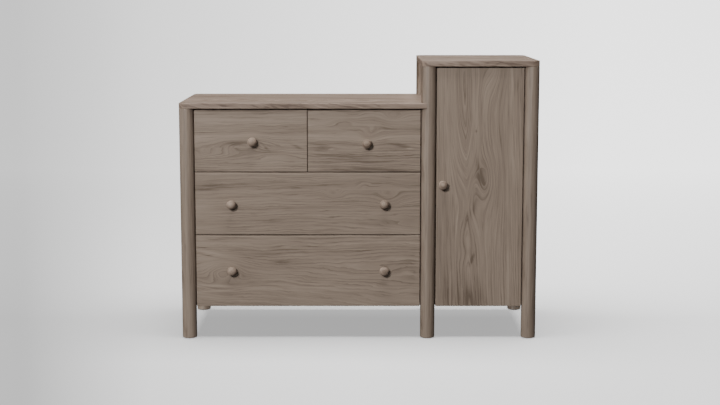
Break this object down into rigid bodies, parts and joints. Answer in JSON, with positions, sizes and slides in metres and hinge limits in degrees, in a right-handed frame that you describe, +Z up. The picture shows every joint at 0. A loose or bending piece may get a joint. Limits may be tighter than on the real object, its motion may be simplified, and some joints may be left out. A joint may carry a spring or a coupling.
{
  "type": "combination dresser",
  "caption": "Low wooden chest with small and wide drawers, joined to a taller cupboard with a door; round corner posts serve as legs, and the knobs are turned balls.",
  "frame": {"origin": "middle of the object's width and depth, knobs included, at the height of the floor under the glides", "axes": "+Z up, +X to the object's right seen from its front, +Y from the fronts towards the back"},
  "size_m": [1.35, 0.577, 1.056],
  "materials": {
    "top_wood": "satin",
    "post_wood": "satin",
    "panel_wood": "satin",
    "front_wood": "satin",
    "knob_wood": "satin",
    "inner_wood": "matte",
    "drawer_box_wood": "matte",
    "slide_steel": "zinc plated",
    "fitting_steel": "satin",
    "bush_brass": "satin",
    "pale_plastic": "matte"
  },
  "bodies": {
    "case": {"front_left_post": "post_wood", "front_centre_post": "post_wood", "front_right_post": "post_wood", "rear_left_post": "post_wood", "rear_centre_post": "post_wood", "rear_right_post": "post_wood", "chest_top": "top_wood", "cabinet_top": "top_wood", "left_side_panel": "panel_wood", "centre_partition": "panel_wood", "right_side_panel": "panel_wood", "chest_back_panel": "inner_wood", "cabinet_back_panel": "inner_wood", "chest_bottom_panel": "inner_wood", "cabinet_bottom_panel": "inner_wood", "drawer_divider_shelf": "inner_wood", "small_drawer_divider": "inner_wood", "chest_cross_rails": "inner_wood", "cabinet_top_rail": "inner_wood", "cabinet_lower_shelf": "inner_wood", "cabinet_upper_shelf": "inner_wood", "shelf_pins": "fitting_steel", "slide_cleats": "inner_wood", "case_slide_members": "slide_steel", "top_pivot": "fitting_steel", "bottom_pivot": "fitting_steel", "magnetic_catch": "pale_plastic", "foot_glides": "pale_plastic"},
    "small_left_drawer": {"small_left_drawer_front": "front_wood", "small_left_drawer_sides": "drawer_box_wood", "small_left_drawer_back": "drawer_box_wood", "small_left_drawer_bottom": "drawer_box_wood", "small_left_drawer_knob": "knob_wood", "small_left_drawer_runners": "slide_steel"},
    "small_right_drawer": {"small_right_drawer_front": "front_wood", "small_right_drawer_sides": "drawer_box_wood", "small_right_drawer_back": "drawer_box_wood", "small_right_drawer_bottom": "drawer_box_wood", "small_right_drawer_knob": "knob_wood", "small_right_drawer_runners": "slide_steel"},
    "middle_drawer": {"middle_drawer_front": "front_wood", "middle_drawer_sides": "drawer_box_wood", "middle_drawer_back": "drawer_box_wood", "middle_drawer_bottom": "drawer_box_wood", "middle_drawer_knobs": "knob_wood", "middle_drawer_runners": "slide_steel"},
    "bottom_drawer": {"bottom_drawer_front": "front_wood", "bottom_drawer_sides": "drawer_box_wood", "bottom_drawer_back": "drawer_box_wood", "bottom_drawer_bottom": "drawer_box_wood", "bottom_drawer_knobs": "knob_wood", "bottom_drawer_runners": "slide_steel"},
    "small_left_slides": {"small_left_slide_middles": "slide_steel"},
    "small_right_slides": {"small_right_slide_middles": "slide_steel"},
    "middle_slides": {"middle_slide_middles": "slide_steel"},
    "bottom_slides": {"bottom_slide_middles": "slide_steel"},
    "door": {"door_panel": "front_wood", "door_knob": "knob_wood", "door_pivot_bushes": "bush_brass", "strike_plate": "fitting_steel"}
  },
  "joints": [
    {"name": "small_left_drawer_slide", "type": "slide", "parent": "case", "child": "small_left_drawer", "axis": [0, -1, 0], "range_m": [0, 0.43]},
    {"name": "small_left_middle_member_slide", "type": "slide", "parent": "case", "child": "small_left_slides", "axis": [0, -1, 0], "range_m": [0, 0.215]},
    {"name": "small_right_drawer_slide", "type": "slide", "parent": "case", "child": "small_right_drawer", "axis": [0, -1, 0], "range_m": [0, 0.43]},
    {"name": "small_right_middle_member_slide", "type": "slide", "parent": "case", "child": "small_right_slides", "axis": [0, -1, 0], "range_m": [0, 0.215]},
    {"name": "middle_drawer_slide", "type": "slide", "parent": "case", "child": "middle_drawer", "axis": [0, -1, 0], "range_m": [0, 0.43]},
    {"name": "middle_middle_member_slide", "type": "slide", "parent": "case", "child": "middle_slides", "axis": [0, -1, 0], "range_m": [0, 0.215]},
    {"name": "bottom_drawer_slide", "type": "slide", "parent": "case", "child": "bottom_drawer", "axis": [0, -1, 0], "range_m": [0, 0.43]},
    {"name": "bottom_middle_member_slide", "type": "slide", "parent": "case", "child": "bottom_slides", "axis": [0, -1, 0], "range_m": [0, 0.215]},
    {"name": "door_hinge", "type": "hinge", "parent": "case", "child": "door", "pos_m": [0.605, -0.2445, 0.124], "axis": [0, 0, 1], "range_deg": [0, 110]}
  ],
  "couplings": [
    {"joint": "small_left_middle_member_slide", "follows": "small_left_drawer_slide", "ratio": 0.5},
    {"joint": "small_right_middle_member_slide", "follows": "small_right_drawer_slide", "ratio": 0.5},
    {"joint": "middle_middle_member_slide", "follows": "middle_drawer_slide", "ratio": 0.5},
    {"joint": "bottom_middle_member_slide", "follows": "bottom_drawer_slide", "ratio": 0.5}
  ]
}
